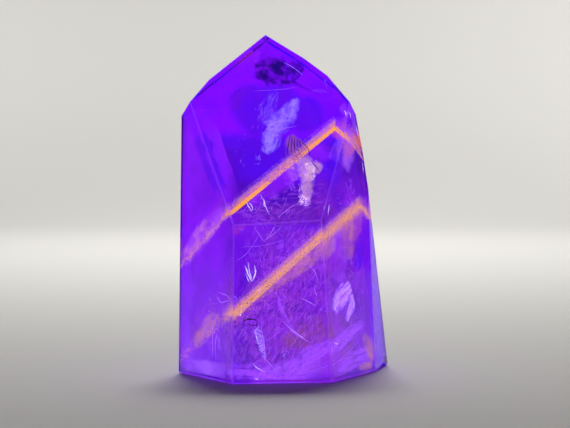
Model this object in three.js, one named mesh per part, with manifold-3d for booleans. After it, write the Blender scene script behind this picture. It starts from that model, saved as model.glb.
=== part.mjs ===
// A quartz crystal ground and polished into a tower: a shaft of flat faces, a point of flat faces, and a sawn base.
// Two slanting layers of orange powellite, its phantoms, run through it and come out flush in the polished faces.
// Millimetres, +Z up, and -Y is the side that the big front face of the point looks to.
// The origin is in the middle of the base. Compass angles are degrees: 0 right, 90 back, 180 left, 270 front.
import * as THREE from "three";
import { mergeVertices } from "three/addons/utils/BufferGeometryUtils.js";
import Module from "manifold-3d";

const wasm = await Module();
wasm.setup();

// The tip stands a little left of the middle and behind it, because the front face took most of the point.
const HEIGHT = 55.4;
const TIP = new THREE.Vector3(-3.25, 2.35, HEIGHT);

// Faces of the shaft. Each looks to a compass angle, leans inward from upright by some degrees,
// and at the base it stands its reach away from the middle.
const SHAFT_FACES = {
  front: { looks: 275.5, leans: 1.5, reach: 13.9 },
  front_left: { looks: 219.6, leans: 1.3, reach: 15.65 },
  back_left: { looks: 156, leans: 0.2, reach: 14.45 },
  back: { looks: 96, leans: 2.5, reach: 13.45 },
  back_right: { looks: 30, leans: 11.1, reach: 17.55 },
  front_right: { looks: 325.6, leans: 3.8, reach: 13.55 },
  // Two narrow faces ground over the right-hand edge: one low down, one at the shoulder.
  right_heel: { looks: 340, leans: 3.2, reach: 14.7 },
  right_shoulder: { looks: 327.2, leans: 7.7, reach: 16.2 },
};

// Faces of the point. Each passes some millimetres over the tip, and the three at 0 are the ones that form it.
const POINT_FACES = {
  front: { looks: 274, leans: 27.5, over_tip: 0 },
  left: { looks: 150, leans: 35.8, over_tip: 0 },
  right: { looks: 40, leans: 43.6, over_tip: 0 },
  back: { looks: 98, leans: 40, over_tip: 1 },
  // Lower facets that bring the point's outline round to the shaft in steps.
  left_lower: { looks: 175, leans: 36.9, over_tip: 3.8 },
  right_lower: { looks: 38, leans: 37.6, over_tip: 1.2 },
  right_lowest: { looks: 15.2, leans: 33.5, over_tip: 6.8 },
};

// A shell-shaped nick knocked out of the base's right-hand corner.
const NICK_RADIUS = 3.7;
const NICK_DETAIL = 2;
const NICK_MIDDLE = new THREE.Vector3(17.5, 1.55, -2.9);

// Each phantom is a thin layer, left where mineral dust settled on the crystal during a pause in its growth.
// It has the shape of a roof whose ridge passes through the place given here and falls towards the back.
// A slope is the rise for each millimetre to the right. The layers are a height thick, measured straight down,
// and stop short of the back face, so the quartz around them is still one piece.
const PHANTOMS = {
  upper_phantom: { ridge: new THREE.Vector3(8.1, -4.6, 40.2), falls_back: 0.17 },
  lower_phantom: { ridge: new THREE.Vector3(11.8, -3.4, 27.7), falls_back: 0.1 },
};
const RISE_LEFT_OF_RIDGE = 0.9;
const RISE_RIGHT_OF_RIDGE = -1.05;
const PHANTOM_HEIGHT = 1;
const PHANTOM_BACK_EDGE = 9;
// The gap between a layer and the quartz around it.
const PHANTOM_CLEARANCE = 0.1;
// A layer starts out wider than the stone, and the block that hollows it from below is wider still.
const LAYER_WIDTH = 100;
const HOLLOW_WIDTH = 110;

// The rough block that the tower is ground from, and the block that stands for what each face takes away.
const ROUGH_WIDTH = 60;
const ROUGH_HEIGHT = HEIGHT + 5;
const WASTE_SIZE = 200;
const UP = new THREE.Vector3(0, 0, 1);
const BACK = new THREE.Vector3(0, 1, 0);

// A closed three.js geometry as a solid that can be cut.
function solidFrom(geometry) {
  const bare = geometry.clone();
  bare.deleteAttribute("normal");
  bare.deleteAttribute("uv");
  const merged = mergeVertices(bare, 1e-4);
  return new wasm.Manifold(
    new wasm.Mesh({
      numProp: 3,
      vertProperties: merged.attributes.position.array,
      triVerts: new Uint32Array(merged.index.array),
    }),
  );
}

// A cut solid back as a three.js geometry with flat faces.
function geometryFrom(solid) {
  const mesh = solid.getMesh();
  const geometry = new THREE.BufferGeometry();
  geometry.setAttribute("position", new THREE.BufferAttribute(mesh.vertProperties, 3));
  geometry.setIndex(new THREE.BufferAttribute(mesh.triVerts, 1));
  const faceted = geometry.toNonIndexed();
  faceted.computeVertexNormals();
  return faceted;
}

// The outward direction of a face that looks to a compass angle and leans inward.
function directionOf({ looks, leans }) {
  const compass = THREE.MathUtils.degToRad(looks);
  const lean = THREE.MathUtils.degToRad(leans);
  return new THREE.Vector3(
    Math.cos(lean) * Math.cos(compass),
    Math.cos(lean) * Math.sin(compass),
    Math.sin(lean),
  );
}

// A point that a face of the shaft passes through: straight out from the middle of the base.
function footOf({ looks, reach }) {
  const compass = THREE.MathUtils.degToRad(looks);
  return new THREE.Vector3(reach * Math.cos(compass), reach * Math.sin(compass), 0);
}

// The stone that grinding a flat face takes away: a block whose near side lies on the face.
function wasteBeyond(point, outward) {
  const block = new THREE.BoxGeometry(WASTE_SIZE, WASTE_SIZE, WASTE_SIZE);
  block.applyQuaternion(new THREE.Quaternion().setFromUnitVectors(UP, outward));
  const middle = point.clone().addScaledVector(outward, WASTE_SIZE / 2);
  block.translate(middle.x, middle.y, middle.z);
  return solidFrom(block);
}

// A block under a roof of two flat slopes that meet in a phantom's ridge, raised by a lift.
function blockUnderRoof({ ridge, falls_back }, lift, width) {
  const box = new THREE.BoxGeometry(width, width, width);
  const top = ridge.clone().addScaledVector(UP, lift);
  let block = solidFrom(box);
  for (const rise of [RISE_LEFT_OF_RIDGE, RISE_RIGHT_OF_RIDGE]) {
    const outward = new THREE.Vector3(-rise, falls_back, 1).normalize();
    block = block.subtract(wasteBeyond(top, outward));
  }
  return block;
}

// The roof-shaped layer of a phantom, on past the polished faces, with some room all round it.
function roofLayer(phantom, room) {
  const backEdge = new THREE.Vector3(0, PHANTOM_BACK_EDGE + room, 0);
  const above = blockUnderRoof(phantom, room, LAYER_WIDTH);
  const below = blockUnderRoof(phantom, -PHANTOM_HEIGHT - room, HOLLOW_WIDTH);
  return above.subtract(below).subtract(wasteBeyond(backEdge, BACK));
}

function polishedStone() {
  const rough = new THREE.BoxGeometry(ROUGH_WIDTH, ROUGH_WIDTH, ROUGH_HEIGHT);
  rough.translate(0, 0, ROUGH_HEIGHT / 2);
  let stone = solidFrom(rough);
  for (const face of Object.values(SHAFT_FACES)) {
    stone = stone.subtract(wasteBeyond(footOf(face), directionOf(face)));
  }
  for (const face of Object.values(POINT_FACES)) {
    const overTip = TIP.clone().addScaledVector(UP, face.over_tip);
    stone = stone.subtract(wasteBeyond(overTip, directionOf(face)));
  }
  const nick = new THREE.IcosahedronGeometry(NICK_RADIUS, NICK_DETAIL);
  nick.translate(NICK_MIDDLE.x, NICK_MIDDLE.y, NICK_MIDDLE.z);
  return stone.subtract(solidFrom(nick));
}

const quartz = new THREE.MeshStandardMaterial({
  color: 0x7a35f5,
  roughness: 0.06,
  metalness: 0,
  transparent: true,
  opacity: 0.6,
});
const powellite = new THREE.MeshStandardMaterial({
  color: 0xf59a35,
  roughness: 0.8,
  metalness: 0,
  emissive: 0x9a4a10,
});

const part = new THREE.Group();
const stone = polishedStone();
let quartzAround = stone;
for (const [name, phantom] of Object.entries(PHANTOMS)) {
  quartzAround = quartzAround.subtract(roofLayer(phantom, PHANTOM_CLEARANCE));
  const layer = new THREE.Mesh(geometryFrom(stone.intersect(roofLayer(phantom, 0))), powellite);
  layer.name = name;
  part.add(layer);
}
const tower = new THREE.Mesh(geometryFrom(quartzAround), quartz);
tower.name = "quartz_tower";
part.add(tower);

export default part;
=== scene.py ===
import math

import bmesh
import bpy
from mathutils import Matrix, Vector, noise


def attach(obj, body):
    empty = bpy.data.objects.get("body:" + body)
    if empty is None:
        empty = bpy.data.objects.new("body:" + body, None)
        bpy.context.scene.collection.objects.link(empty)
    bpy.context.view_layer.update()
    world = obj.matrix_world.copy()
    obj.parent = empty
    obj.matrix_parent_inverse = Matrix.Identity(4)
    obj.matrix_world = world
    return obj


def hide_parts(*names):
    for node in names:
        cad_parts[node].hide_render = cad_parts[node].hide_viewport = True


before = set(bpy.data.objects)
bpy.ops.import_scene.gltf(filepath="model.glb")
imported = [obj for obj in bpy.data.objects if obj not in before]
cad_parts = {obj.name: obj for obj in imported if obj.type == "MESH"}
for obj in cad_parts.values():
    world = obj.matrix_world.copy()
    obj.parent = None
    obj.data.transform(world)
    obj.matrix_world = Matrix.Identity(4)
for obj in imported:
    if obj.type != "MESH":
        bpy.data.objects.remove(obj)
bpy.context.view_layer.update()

MM = 0.001


# The tower: one clear quartz crystal, ground flat face by face on a lap and polished until it is water-clear.
# It was sawn through at the bottom, its edges have a hair of a bevel, and one corner of the base has a nick.
# The dust and the veils in this file lie inside it, so here its faces run on over the slots of the phantoms.
ROUGH_SIZE = 150 * MM
SAME_CORNER_WITHIN = 0.001 * MM
SAME_FACE_WITHIN = math.radians(0.4)
SMALLEST_FACE = 3 * MM * MM
ON_A_CUT_WITHIN = 0.0001 * MM
BEVEL_WIDTH = 0.16 * MM
BEVEL_STEPS = 2
BEVEL_FULLNESS = 0.6
SHORTEST_BEVELLED_EDGE = 1.6 * MM
FLATTEST_BEVELLED_CORNER = math.radians(3)
NICK_RADIUS = 3.75 * MM
NICK_MIDDLE = Vector((17.5, 1.55, -2.9)) * MM
# How matt a face is left: 0 where it is polished, 1 on the bevels, and less on the base, which looks down.
BEVEL_MATTNESS = 1.0
SAWN_MATTNESS = 0.6
LOOKS_DOWN = -0.9
POLISHED_ROUGHNESS = 0.015
MATT_ROUGHNESS = 0.5
# Only faces more matt than this get a painted highlight, a faint emission, and the bevels as much of it as is
# given here.
PAINTED_HIGHLIGHT_OVER = 0.8
BEVEL_PAINTED_HIGHLIGHT = 0.06
LAP_WAVE = 5 * MM
LAP_WAVE_HEIGHT = 0.02 * MM
QUARTZ_INDEX = 1.544
# How fast the violet deepens, per metre.
VIOLET_DEPTH = 110.0


def linear(hex_colour):
    """An sRGB hex colour as the linear values that a shader takes."""
    channels = [int(hex_colour[i:i + 2], 16) / 255 for i in (1, 3, 5)]
    straight = [c / 12.92 if c <= 0.04045 else ((c + 0.055) / 1.055) ** 2.4 for c in channels]
    return (*straight, 1.0)


def named(sockets, name):
    """The socket of that name that is in use; a node can hold unused ones of the same name."""
    if isinstance(name, int):
        return sockets[name]
    return next(socket for socket in sockets if socket.name == name and socket.enabled)


def add(tree, kind, settings=None, links=None):
    """Adds a node. Settings are its properties or its inputs' values, and links are what feeds its inputs."""
    made = tree.nodes.new(kind)
    for name, value in (settings or {}).items():
        if isinstance(name, str) and name in made.bl_rna.properties:
            setattr(made, name, value)
        else:
            named(made.inputs, name).default_value = value
    for name, source in (links or {}).items():
        tree.links.new(source, named(made.inputs, name))
    return made


def new_material(name):
    """A material with an empty node tree."""
    material = bpy.data.materials.new(name)
    material.use_nodes = True
    material.node_tree.nodes.clear()
    return material, material.node_tree


def new_piece(name, mesh, material):
    """A mesh as an object at the origin, in one material."""
    piece = bpy.data.objects.new(name, mesh)
    bpy.context.scene.collection.objects.link(piece)
    mesh.materials.clear()
    mesh.materials.append(material)
    return piece


def mesh_of(name, shape):
    """A finished bmesh as a mesh."""
    mesh = bpy.data.meshes.new(name)
    shape.to_mesh(mesh)
    shape.free()
    return mesh


def polished_violet_quartz():
    """Polished quartz, violet all through: glass-clear, with the slow waves that a polishing lap leaves.

    The bevels and the sawn base are matt, and the bevels also get a faint lilac painted highlight, an
    emission.
    """
    material, tree = new_material("polished_violet_quartz")
    place = add(tree, "ShaderNodeTexCoord")
    waves = add(
        tree,
        "ShaderNodeTexNoise",
        {"Scale": 1 / LAP_WAVE, "Detail": 2.0},
        {"Vector": place.outputs["Object"]},
    )
    relief = add(
        tree,
        "ShaderNodeBump",
        {"Strength": 0.08, "Distance": LAP_WAVE_HEIGHT},
        {"Height": waves.outputs["Fac"]},
    )
    mattness = add(tree, "ShaderNodeAttribute", {"attribute_name": "ground"}).outputs["Fac"]
    roughness_range = {"To Min": POLISHED_ROUGHNESS, "To Max": MATT_ROUGHNESS}
    dullness = add(tree, "ShaderNodeMapRange", roughness_range, {"Value": mattness})
    highlight_range = {"From Min": PAINTED_HIGHLIGHT_OVER, "To Max": BEVEL_PAINTED_HIGHLIGHT}
    painted_edge_highlight = add(tree, "ShaderNodeMapRange", highlight_range, {"Value": mattness})
    glass = add(
        tree,
        "ShaderNodeBsdfPrincipled",
        {
            "Base Color": linear("#a427ff"),
            "IOR": QUARTZ_INDEX,
            "Transmission Weight": 1.0,
            # The emission is the bevels' painted highlight.
            "Emission Color": linear("#cb7cff"),
        },
        {
            "Normal": relief.outputs["Normal"],
            "Roughness": dullness.outputs["Result"],
            "Emission Strength": painted_edge_highlight.outputs["Result"],
        },
    )
    depth = add(tree, "ShaderNodeVolumeAbsorption", {"Color": linear("#cb00ff"), "Density": VIOLET_DEPTH})
    ends = {"Surface": glass.outputs["BSDF"], "Volume": depth.outputs["Volume"]}
    add(tree, "ShaderNodeOutputMaterial", None, ends)
    # The painted highlight on its bevels is seen but is too weak to light anything else.
    material.cycles.emission_sampling = "NONE"
    return material


def grind(shape, place, outward):
    """Takes away what lies past a flat face, and gives the edges of the cut."""
    cut = bmesh.ops.bisect_plane(
        shape,
        geom=[*shape.verts, *shape.edges, *shape.faces],
        dist=ON_A_CUT_WITHIN,
        plane_co=place,
        plane_no=outward,
        clear_outer=True,
    )
    return [part for part in cut["geom_cut"] if isinstance(part, bmesh.types.BMEdge)]


def cut_out(body, cutter):
    """The mesh that is left of a body once a cutter's shape is taken out of it."""
    holder = bpy.data.objects.new("body", body)
    tool = bpy.data.objects.new("cutter", cutter)
    for thing in (holder, tool):
        bpy.context.scene.collection.objects.link(thing)
    cut = holder.modifiers.new("cut", "BOOLEAN")
    cut.operation = "DIFFERENCE"
    cut.solver = "EXACT"
    cut.object = tool
    depsgraph = bpy.context.evaluated_depsgraph_get()
    left = bpy.data.meshes.new_from_object(holder.evaluated_get(depsgraph), depsgraph=depsgraph)
    for thing in (holder, tool):
        bpy.data.objects.remove(thing)
    return left


# The faces are flat, so the hull of the solids' corners shows where each of them was ground.
hull = bmesh.new()
for node in ("quartz_tower", "upper_phantom", "lower_phantom"):
    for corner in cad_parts[node].data.vertices:
        hull.verts.new(corner.co)
bmesh.ops.remove_doubles(hull, verts=hull.verts, dist=SAME_CORNER_WITHIN)
bmesh.ops.convex_hull(hull, input=hull.verts)
bmesh.ops.dissolve_limit(hull, angle_limit=SAME_FACE_WITHIN, verts=hull.verts, edges=hull.edges)
ground_faces = [
    (face.calc_center_median(), face.normal.copy()) for face in hull.faces if face.calc_area() > SMALLEST_FACE
]
hull.free()

# The stone before it was nicked: a rough block, ground down to one face after another.
stone = bmesh.new()
ground = stone.faces.layers.float.new("ground")
bmesh.ops.create_cube(stone, size=ROUGH_SIZE)
for place, outward in ground_faces:
    bmesh.ops.contextual_create(stone, geom=grind(stone, place, outward))
bmesh.ops.recalc_face_normals(stone, faces=stone.faces)
corners = [
    edge
    for edge in stone.edges
    if edge.calc_length() > SHORTEST_BEVELLED_EDGE and edge.calc_face_angle() > FLATTEST_BEVELLED_CORNER
]
bevels = bmesh.ops.bevel(
    stone,
    geom=corners,
    offset=BEVEL_WIDTH,
    segments=BEVEL_STEPS,
    profile=BEVEL_FULLNESS,
    affect="EDGES",
    clamp_overlap=True,
)
for face in bevels["faces"]:
    face[ground] = BEVEL_MATTNESS
for face in stone.faces:
    if face.normal.z < LOOKS_DOWN:
        face[ground] = SAWN_MATTNESS

nick = bmesh.new()
bmesh.ops.create_icosphere(nick, subdivisions=4, radius=NICK_RADIUS)
bmesh.ops.translate(nick, vec=NICK_MIDDLE, verts=nick.verts)
nicked = cut_out(mesh_of("stone", stone), mesh_of("nick", nick))
tower = new_piece("polished_tower", nicked, polished_violet_quartz())
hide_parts("quartz_tower")
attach(tower, "root")


# The phantoms: two old outlines of the point, from pauses in the crystal's growth. At each pause a dust of
# powellite, which glows orange under the lamp, settled on the faces of that time, and quartz grew over it.
# Each is a thick bright layer with thinner, paler ones above it, and falls away from a ridge to both sides.
DUST_GRAIN = 0.1 * MM
CLEAR_SKIN = 0.2 * MM
PHANTOM_SLOPE_LEFT = 0.9
PHANTOM_SLOPE_RIGHT = -1.05
UPPER_RIDGE = Vector((8.1, -4.6, 40.3)) * MM
LOWER_RIDGE = Vector((11.8, -3.4, 27.8)) * MM
UPPER_SLOPE_BACK = -0.17
LOWER_SLOPE_BACK = -0.1
BACK_EDGE = 9
# The faces of a phantom as columns: how far to the right each stands and where it starts, in mm, and how
# crowded with dust it is. Columns left of the ridge are measured from the stone's middle, the others from the
# ridge. Left of the stone's front left corner, at -8.4, the bright dust is thin. The upper layer is also dull
# halfway along, from where the feather's hood hangs in front of it.
LEFT_FACE = ((30, -25, 1), (-7.6, -25, 1), (-9, -25, 0.06), (-25, -25, 0.06))
LEFT_DULL_HALFWAY = (
    (30, -25, 1), (4, -25, 1), (1.6, -25, 0.3), (-2.6, -25, 0.3), (-4, -25, 1), (-7.6, -25, 1),
    (-9, -25, 0.06), (-25, -25, 0.06),
)
LEFT_FACE_ALL_ALONG = ((30, -25, 0.8), (-7.6, -25, 0.8), (-9, -25, 0.5), (-25, -25, 0.4))
# The dust that came loose lies thickest at the left and thins out towards the ridge.
FALL = ((30, -25, 0), (-9, -25, 1), (-12, -25, 0.2))
RIGHT_FACE_BY_RIDGE = ((0, -8, 1), (1.9, -8, 1))
RIGHT_FACE = ((0, -8, 1), (8, 0, 1))


def scattering():
    """Geometry Nodes that scatter grains or needles on a sheet and drop those too near the stone's skin."""
    tree = bpy.data.node_groups.new("scatter_on_a_sheet", "GeometryNodeTree")
    tree.interface.new_socket("Geometry", in_out="OUTPUT", socket_type="NodeSocketGeometry")
    for label, kind in (
        ("Sheet", "Geometry"),
        ("Stone", "Object"),
        ("Clear skin", "Float"),
        ("Reach", "Float"),
        ("Grains per square metre", "Float"),
        ("Grain size", "Float"),
        ("Size varies by", "Float"),
        ("Grain stretch", "Vector"),
        ("Tumble", "Float"),
        ("Layer depth", "Float"),
        ("Patch size", "Float"),
        ("Patchiness", "Float"),
        ("Seed", "Int"),
        ("Material", "Material"),
    ):
        tree.interface.new_socket(label, in_out="INPUT", socket_type="NodeSocket" + kind)
    given = add(tree, "NodeGroupInput").outputs

    # How crowded the sheet is: its own crowding, thinned out in patches of soft noise.
    crowding = add(tree, "GeometryNodeInputNamedAttribute", {"data_type": "FLOAT", "Name": "crowding"})
    position = add(tree, "GeometryNodeInputPosition").outputs["Position"]
    per_patch = add(tree, "ShaderNodeMath", {"operation": "DIVIDE", 0: 1.0}, {1: given["Patch size"]})
    spot = add(
        tree,
        "ShaderNodeVectorMath",
        {"operation": "SCALE"},
        {0: position, "Scale": per_patch.outputs["Value"]},
    )
    patches = add(
        tree,
        "ShaderNodeTexNoise",
        {"Scale": 1.0, "Detail": 2.0},
        {"Vector": spot.outputs["Vector"]},
    )
    thinnest = add(tree, "ShaderNodeMath", {"operation": "SUBTRACT", 0: 1.0}, {1: given["Patchiness"]})
    kept = add(
        tree,
        "ShaderNodeMapRange",
        {"From Min": 0.4, "From Max": 0.6, "To Max": 1.0},
        {"Value": patches.outputs["Fac"], "To Min": thinnest.outputs["Value"]},
    )
    unthinned = add(
        tree,
        "ShaderNodeMath",
        {"operation": "MULTIPLY"},
        {0: named(crowding.outputs, "Attribute"), 1: given["Grains per square metre"]},
    )
    density = add(
        tree,
        "ShaderNodeMath",
        {"operation": "MULTIPLY"},
        {0: unthinned.outputs["Value"], 1: kept.outputs["Result"]},
    )
    points = add(
        tree,
        "GeometryNodeDistributePointsOnFaces",
        {"distribute_method": "RANDOM"},
        {"Mesh": given["Sheet"], "Density": density.outputs["Value"], "Seed": given["Seed"]},
    )
    up_or_down = add(
        tree,
        "FunctionNodeRandomValue",
        {"data_type": "FLOAT", "Min": -0.5, "Max": 0.5},
        {"Seed": given["Seed"]},
    )
    rise = add(
        tree,
        "ShaderNodeMath",
        {"operation": "MULTIPLY"},
        {0: named(up_or_down.outputs, "Value"), 1: given["Layer depth"]},
    )
    lift = add(
        tree,
        "ShaderNodeVectorMath",
        {"operation": "SCALE"},
        {0: points.outputs["Normal"], "Scale": rise.outputs["Value"]},
    )
    moved = add(
        tree,
        "GeometryNodeSetPosition",
        None,
        {"Geometry": points.outputs["Points"], "Offset": lift.outputs["Vector"]},
    )

    # How deep each point lies under the nearest face of the stone. Each draws its own share of the reach, so
    # the layer thins out inwards.
    skin = add(tree, "GeometryNodeObjectInfo", None, {"Object": given["Stone"]}).outputs["Geometry"]
    nearest = add(tree, "GeometryNodeProximity", {"target_element": "FACES"}, {"Geometry": skin})
    normal = add(tree, "GeometryNodeInputNormal").outputs["Normal"]
    outward = add(
        tree,
        "GeometryNodeSampleNearestSurface",
        {"data_type": "FLOAT_VECTOR"},
        {"Mesh": skin, "Value": normal},
    )
    to_skin = add(
        tree,
        "ShaderNodeVectorMath",
        {"operation": "SUBTRACT"},
        {0: nearest.outputs["Position"], 1: position},
    )
    depth = add(
        tree,
        "ShaderNodeVectorMath",
        {"operation": "DOT_PRODUCT"},
        {0: to_skin.outputs["Vector"], 1: named(outward.outputs, "Value")},
    ).outputs["Value"]
    reach_seed = add(tree, "ShaderNodeMath", {"operation": "ADD", 1: 2.0}, {0: given["Seed"]})
    reach_share = add(
        tree,
        "FunctionNodeRandomValue",
        {"data_type": "FLOAT", "Min": 0.2, "Max": 1.0},
        {"Seed": reach_seed.outputs["Value"]},
    )
    reach = add(
        tree,
        "ShaderNodeMath",
        {"operation": "MULTIPLY"},
        {0: named(reach_share.outputs, "Value"), 1: given["Reach"]},
    )
    shallow = add(
        tree,
        "FunctionNodeCompare",
        {"operation": "LESS_THAN"},
        {"A": depth, "B": given["Clear skin"]},
    )
    deep = add(
        tree,
        "FunctionNodeCompare",
        {"operation": "GREATER_THAN"},
        {"A": depth, "B": reach.outputs["Value"]},
    )
    outside = add(
        tree,
        "FunctionNodeBooleanMath",
        {"operation": "OR"},
        {0: shallow.outputs["Result"], 1: deep.outputs["Result"]},
    )
    left = add(
        tree,
        "GeometryNodeDeleteGeometry",
        {"domain": "POINT"},
        {"Geometry": moved.outputs["Geometry"], "Selection": outside.outputs["Boolean"]},
    )

    # A grain is a three-sided cone about as wide and as high as the grain size, turned any way by its tumble.
    grain = add(
        tree,
        "GeometryNodeMeshCone",
        {"Vertices": 3, "Radius Top": 0.0, "Radius Bottom": 0.55, "Depth": 0.8},
    )
    tilt_seed = add(tree, "ShaderNodeMath", {"operation": "ADD", 1: 1.0}, {0: given["Seed"]})
    any_way = add(
        tree,
        "FunctionNodeRandomValue",
        {"data_type": "FLOAT_VECTOR", "Min": (-1, -1, -1), "Max": (1, 1, 1)},
        {"Seed": tilt_seed.outputs["Value"]},
    )
    tilt = add(
        tree,
        "ShaderNodeVectorMath",
        {"operation": "SCALE"},
        {0: named(any_way.outputs, "Value"), "Scale": given["Tumble"]},
    )
    turn = add(
        tree,
        "FunctionNodeRotateRotation",
        {"rotation_space": "LOCAL"},
        {"Rotation": points.outputs["Rotation"], "Rotate By": tilt.outputs["Vector"]},
    )
    smallest = add(tree, "ShaderNodeMath", {"operation": "SUBTRACT", 0: 1.0}, {1: given["Size varies by"]})
    largest = add(tree, "ShaderNodeMath", {"operation": "ADD", 0: 1.0}, {1: given["Size varies by"]})
    size_share = add(
        tree,
        "FunctionNodeRandomValue",
        {"data_type": "FLOAT"},
        {"Min": smallest.outputs["Value"], "Max": largest.outputs["Value"]},
    )
    size = add(
        tree,
        "ShaderNodeMath",
        {"operation": "MULTIPLY"},
        {0: named(size_share.outputs, "Value"), 1: given["Grain size"]},
    )
    stretched = add(
        tree,
        "ShaderNodeVectorMath",
        {"operation": "SCALE"},
        {0: given["Grain stretch"], "Scale": size.outputs["Value"]},
    )
    placed = add(
        tree,
        "GeometryNodeInstanceOnPoints",
        None,
        {
            "Points": left.outputs["Geometry"],
            "Instance": grain.outputs["Mesh"],
            "Rotation": turn.outputs["Rotation"],
            "Scale": stretched.outputs["Vector"],
        },
    )
    joined = add(tree, "GeometryNodeRealizeInstances", None, {"Geometry": placed.outputs["Instances"]})
    finished = add(
        tree,
        "GeometryNodeSetMaterial",
        None,
        {"Geometry": joined.outputs["Geometry"], "Material": given["Material"]},
    )
    add(tree, "NodeGroupOutput", None, {"Geometry": finished.outputs["Geometry"]})
    return tree


scatter = scattering()


def scattered(name, sheet, material, slot, seed, per_mm2, size, **others):
    """Scatters small closed bits over a sheet, as one piece. Others are more inputs of the tree, by name."""
    carrier = bpy.data.objects.new(name + "_sheet", sheet)
    bpy.context.scene.collection.objects.link(carrier)
    modifier = carrier.modifiers.new("scatter", "NODES")
    modifier.node_group = scatter
    values = {
        "Stone": tower,
        "Clear skin": CLEAR_SKIN,
        "Reach": 1.0,
        "Grains per square metre": per_mm2 / (MM * MM),
        "Grain size": size,
        "Size varies by": 0.35,
        "Grain stretch": (1.0, 1.0, 1.0),
        "Tumble": math.pi,
        "Layer depth": 0.0,
        "Patch size": 2 * MM,
        "Patchiness": 0.0,
        "Seed": seed,
        "Material": material,
    }
    values.update(others)
    sockets = {item.name: item.identifier for item in scatter.interface.items_tree if item.in_out == "INPUT"}
    for label, value in values.items():
        modifier[sockets[label]] = value
    carrier.update_tag()
    depsgraph = bpy.context.evaluated_depsgraph_get()
    mesh = bpy.data.meshes.new_from_object(carrier.evaluated_get(depsgraph), depsgraph=depsgraph)
    carrier.modifiers.clear()
    bpy.data.objects.remove(carrier)
    mesh.name = name
    for attribute in [a.name for a in mesh.attributes if a.name in ("crowding", "flow")]:
        mesh.attributes.remove(mesh.attributes[attribute])
    piece = new_piece(name, mesh, material)
    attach(piece, "root")
    return piece


def glowing(name, hex_colour, glow_colour, glow, roughness, index):
    """Small bits with a painted glow, an emission that stands in for the lamp light they scatter or, in
    powellite, give off. Their glow is given as it is without the quartz.
    """
    material, tree = new_material(name)
    body = add(
        tree,
        "ShaderNodeBsdfPrincipled",
        {
            "Base Color": linear(hex_colour),
            "Roughness": roughness,
            "IOR": index,
            "Emission Color": linear(glow_colour),
            "Emission Strength": glow,
        },
    )
    add(tree, "ShaderNodeOutputMaterial", None, {"Surface": body.outputs["BSDF"]})
    material.cycles.emission_sampling = "NONE"
    return material


def phantom_sheet(name, ridge, slope_back, height, columns, slope):
    """One flat face of a phantom, in columns. It falls away from the ridge by its slopes across and back."""
    shape = bmesh.new()
    crowding = shape.verts.layers.float.new("crowding")
    rows = []
    for across, front, crowd in columns:
        x = min(across * MM, ridge.x) if slope > 0 else ridge.x + across * MM
        rows.append([])
        for y in (front * MM, BACK_EDGE * MM):
            z = ridge.z + height * MM + slope * (x - ridge.x) + slope_back * (y - ridge.y)
            corner = shape.verts.new((x, y, z))
            corner[crowding] = crowd
            rows[-1].append(corner)
    for (a, b), (c, d) in zip(rows, rows[1:]):
        shape.faces.new((a, c, d, b))
    return mesh_of(name, shape)


# Powellite dust: matt grains that glow orange where they are crowded, and peach, pink or lilac where quartz
# lies between them. The violet quartz takes the green away, so without it the glow would be yellow-green.
POWELLITE_INDEX = 1.97
DUST_ROUGHNESS = 0.7
bright_dust, peach_dust, pink_dust, lilac_dust = (
    glowing(f"{tone}_powellite_dust", colour, glow_colour, glow, DUST_ROUGHNESS, POWELLITE_INDEX)
    for tone, colour, glow_colour, glow in (
        ("bright", "#a05000", "#c2ff00", 3.0),
        ("peach", "#a06030", "#b1ff30", 3.0),
        ("pink", "#906050", "#cbff69", 1.9),
        ("lilac", "#806080", "#daffda", 0.9),
    )
)
for name, ridge, slope_back, bright_face, brightest, core_height, core_thickness, core_grains, seed in (
    ("upper_phantom", UPPER_RIDGE, UPPER_SLOPE_BACK, LEFT_DULL_HALFWAY, bright_dust, -0.55, 0.6, 170, 11),
    ("lower_phantom", LOWER_RIDGE, LOWER_SLOPE_BACK, LEFT_FACE, peach_dust, -0.5, 0.9, 110, 31),
):
    # A layer has its dust, height over the ridge, columns, slope across, thickness and reach in from the skin
    # in mm, and so many grains per square mm.
    for part, dust, height, columns, slope, thickness, reach, grains in (
        ("core", brightest, core_height, bright_face, PHANTOM_SLOPE_LEFT, core_thickness, 5, core_grains),
        ("core_rest", pink_dust, -0.1, LEFT_FACE, PHANTOM_SLOPE_LEFT, 0.3, 5, 30),
        ("rest", pink_dust, -0.4, LEFT_FACE_ALL_ALONG, PHANTOM_SLOPE_LEFT, 0.8, 17, 20),
        ("core_by_ridge", brightest, -0.6, RIGHT_FACE_BY_RIDGE, PHANTOM_SLOPE_RIGHT, 0.7, 5, 80),
        ("edge_line", pink_dust, -0.3, RIGHT_FACE, PHANTOM_SLOPE_RIGHT, 0.12, 2.5, 60),
        ("right_rest", lilac_dust, -0.3, RIGHT_FACE, PHANTOM_SLOPE_RIGHT, 0.3, 9, 12),
        ("line_low", pink_dust, 0.25, LEFT_FACE, PHANTOM_SLOPE_LEFT, 0.2, 4, 45),
        ("line_middle", pink_dust, 0.6, LEFT_FACE, PHANTOM_SLOPE_LEFT, 0.16, 4, 40),
        ("line_high", lilac_dust, 0.95, LEFT_FACE, PHANTOM_SLOPE_LEFT, 0.12, 4, 34),
        ("glow", lilac_dust, 1.1, LEFT_FACE, PHANTOM_SLOPE_LEFT, 0.9, 5, 20),
    ):
        seed += 1
        layer = scattered(
            f"{name}_{part}",
            phantom_sheet(name, ridge, slope_back, height, columns, slope),
            dust,
            "powellite",
            seed,
            grains,
            DUST_GRAIN,
            **{
                "Layer depth": thickness * MM,
                "Reach": reach * MM,
                "Patchiness": 0.4,
                "Patch size": 4 * MM,
            },
        )
        if part in ("core", "core_by_ridge"):
            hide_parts(name)

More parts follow.
